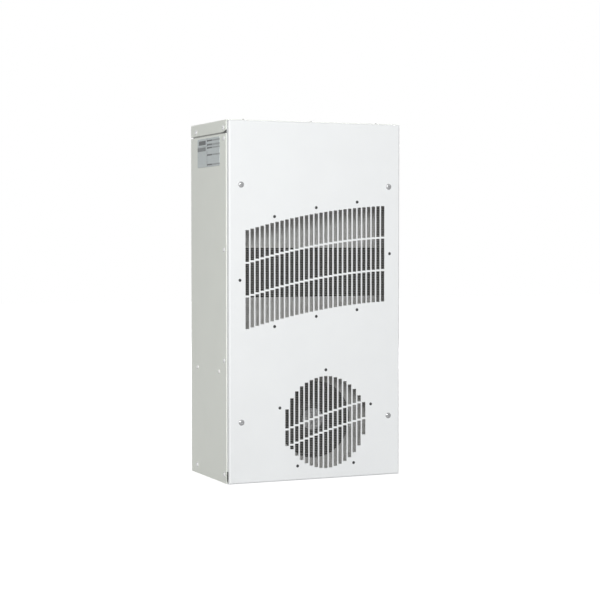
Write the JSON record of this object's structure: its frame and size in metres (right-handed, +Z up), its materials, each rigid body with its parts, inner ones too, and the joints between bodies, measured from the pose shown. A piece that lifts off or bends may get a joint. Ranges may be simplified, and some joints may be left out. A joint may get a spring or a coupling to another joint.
{
  "type": "enclosure heat exchanger",
  "caption": "Tall sheet-metal air-to-air heat exchanger with a curved upper grille, a round lower grille and a fan for each air stream.",
  "frame": {"origin": "middle of the footprint, on the surface that the unit stands on", "axes": "+Z up along the unit's height; +Y from the front cover to the back wall that bolts to the enclosure; +X to the right as seen from the front"},
  "size_m": [0.393, 0.2311, 0.74],
  "materials": {
    "cover_paint": "fine textured powder coat, light grey-white",
    "shell_paint": "fine textured powder coat, light grey-white",
    "galvanised": "zinc-coated sheet, satin",
    "bright_screws": "zinc plated, bright",
    "pale_screws": "painted over with the cabinet",
    "inner_screws": "zinc plated",
    "nameplate": "satin anodised, bare",
    "screen_wire": "woven wire, bright",
    "clamp_steel": "zinc-coated strip",
    "rivets": "blackened",
    "foam": "closed-cell foam strip",
    "core_metal": "mill finish, darkened",
    "fan_casting": "black coated casting",
    "fan_stator": "varnished copper windings",
    "bearing_steel": "ground steel",
    "impeller": "black",
    "hub_disc": "bare silver disc",
    "guard_wire": "bright plated wire",
    "gasket": "closed-cell foam strip",
    "inserts": "machined",
    "terminal_plastic": "ivory moulding",
    "terminal_brass": "machined",
    "lead": "black jacket",
    "grommets": "black",
    "clips": "white moulding"
  },
  "bodies": {
    "cabinet": {"cabinet_shell": "shell_paint", "top_cap": "shell_paint", "bottom_pan": "galvanised", "front_cover": "cover_paint", "cover_screws": "bright_screws", "cover_posts": "inner_screws", "post_screws": "inner_screws", "cap_top_screws": "bright_screws", "cap_side_screws": "bright_screws", "side_screws": "bright_screws", "pan_screws": "bright_screws", "shelf_screws": "pale_screws", "nameplate": "nameplate", "upper_screen": "screen_wire", "upper_clamp": "clamp_steel", "upper_rivets": "rivets", "lower_screen": "screen_wire", "lower_clamp": "clamp_steel", "lower_rivets": "rivets", "fan_deck": "galvanised", "divider_shelf": "galvanised", "baffle_seal": "foam", "core_bulkhead": "galvanised", "upper_shelf": "galvanised", "core_plates": "core_metal", "core_sides": "core_metal", "core_front_sheet": "core_metal", "core_back_sheet": "core_metal", "core_top_sheet": "core_metal", "core_bottom_sheet": "core_metal", "core_front_gasket": "foam", "core_bottom_gasket": "foam", "core_top_gasket": "foam", "outside_fan_frame": "fan_casting", "outside_fan_stator": "fan_stator", "outside_fan_bearings": "bearing_steel", "outside_fan_screws": "inner_screws", "outside_fan_nuts": "inner_screws", "inside_fan_frame": "fan_casting", "inside_fan_stator": "fan_stator", "inside_fan_bearings": "bearing_steel", "inside_fan_screws": "inner_screws", "inside_fan_nuts": "inner_screws", "inlet_guard": "guard_wire", "mounting_gasket": "gasket", "mounting_inserts": "inserts", "terminal_tray": "galvanised", "terminal_block": "terminal_plastic", "terminal_screws": "terminal_brass", "earth_stud": "inserts", "outside_fan_lead": "lead", "inside_fan_lead": "lead", "lead_grommets": "grommets", "lead_clips": "clips"},
    "outside_rotor": {"outside_fan_impeller": "impeller", "outside_fan_shaft": "bearing_steel", "outside_fan_disc": "hub_disc"},
    "inside_rotor": {"inside_fan_impeller": "impeller", "inside_fan_shaft": "bearing_steel", "inside_fan_disc": "hub_disc"}
  },
  "joints": [
    {"name": "outside_fan_spin", "type": "hinge", "parent": "cabinet", "child": "outside_rotor", "pos_m": [0.02185, -0.04, 0.1175], "axis": [0, 1, 0], "continuous": true},
    {"name": "inside_fan_spin", "type": "hinge", "parent": "cabinet", "child": "inside_rotor", "pos_m": [-0.016, 0.09, 0.606], "axis": [0, 1, 0], "continuous": true}
  ]
}
